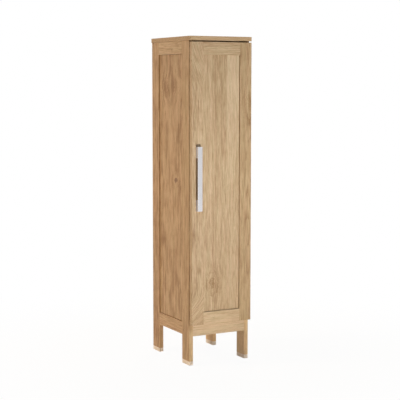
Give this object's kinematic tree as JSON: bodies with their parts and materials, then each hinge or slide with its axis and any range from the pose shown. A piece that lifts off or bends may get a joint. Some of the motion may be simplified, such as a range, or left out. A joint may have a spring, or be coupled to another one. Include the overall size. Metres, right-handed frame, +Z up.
{
  "type": "tall bathroom cabinet",
  "caption": "Tall narrow oak bathroom cabinet on four capped legs, with framed sides, shelves and a framed door that opens on concealed hinges by a vertical bar handle.",
  "frame": {"origin": "on the floor, at the middle of the bounding box of the whole cabinet, closed door and handle included", "axes": "+X to the right seen from the front, -Y out of the door, +Z up"},
  "size_m": [0.35, 0.466, 1.65],
  "materials": {
    "oak": "oiled oak, satin",
    "oak_side": "oiled oak, satin",
    "oak_panel": "edge-glued oiled oak, satin",
    "oak_inside": "edge-glued oiled oak, satin",
    "back_veneer": "oak-veneered plywood",
    "beech": "plain fluted beech",
    "frosted_cap": "pale frosted plastic",
    "clear_bumper": "clear soft plastic",
    "satin_handle": "satin brushed",
    "hinge_steel": "nickel plated",
    "zinc": "cast zinc"
  },
  "bodies": {
    "cabinet": {"left_front_leg": "oak_side", "right_front_leg": "oak_side", "left_rear_leg": "oak_side", "right_rear_leg": "oak_side", "left_top_rail": "oak_side", "right_top_rail": "oak_side", "left_bottom_rail": "oak_side", "right_bottom_rail": "oak_side", "left_side_panel": "oak_panel", "right_side_panel": "oak_panel", "front_top_rail": "oak", "front_bottom_rail": "oak", "rear_top_rail": "oak", "rear_bottom_rail": "oak", "back_panel": "back_veneer", "top_board": "oak", "bottom_board": "oak_inside", "first_shelf": "oak_inside", "fixed_shelf": "oak_inside", "third_shelf": "oak_inside", "fourth_shelf": "oak_inside", "left_top_cleat": "oak_side", "right_top_cleat": "oak_side", "left_bottom_cleat": "oak_side", "right_bottom_cleat": "oak_side", "left_front_foot_cap": "frosted_cap", "right_front_foot_cap": "frosted_cap", "left_rear_foot_cap": "frosted_cap", "right_rear_foot_cap": "frosted_cap", "shelf_pegs": "zinc", "dowels": "beech", "cams": "zinc", "cam_bolts": "hinge_steel", "top_screws": "hinge_steel", "cleat_screws": "hinge_steel", "back_panel_screws": "hinge_steel", "foot_cap_screws": "hinge_steel", "lower_hinge_plate": "hinge_steel", "middle_hinge_plate": "hinge_steel", "upper_hinge_plate": "hinge_steel", "lower_hinge_arm": "hinge_steel", "middle_hinge_arm": "hinge_steel", "upper_hinge_arm": "hinge_steel", "hinge_plate_screws": "hinge_steel", "hinge_clip_screws": "hinge_steel"},
    "door": {"door_left_stile": "oak", "door_right_stile": "oak", "door_top_rail": "oak", "door_bottom_rail": "oak", "door_panel": "oak_panel", "handle": "satin_handle", "handle_screws": "hinge_steel", "door_bumpers": "clear_bumper", "lower_hinge_cup": "hinge_steel", "middle_hinge_cup": "hinge_steel", "upper_hinge_cup": "hinge_steel", "hinge_cup_screws": "hinge_steel", "hinge_pins": "hinge_steel"}
  },
  "joints": [
    {"name": "door_hinge", "type": "hinge", "parent": "cabinet", "child": "door", "pos_m": [0.1606, -0.196, 0.91525], "axis": [0, 0, 1], "range_deg": [0, 105]}
  ]
}
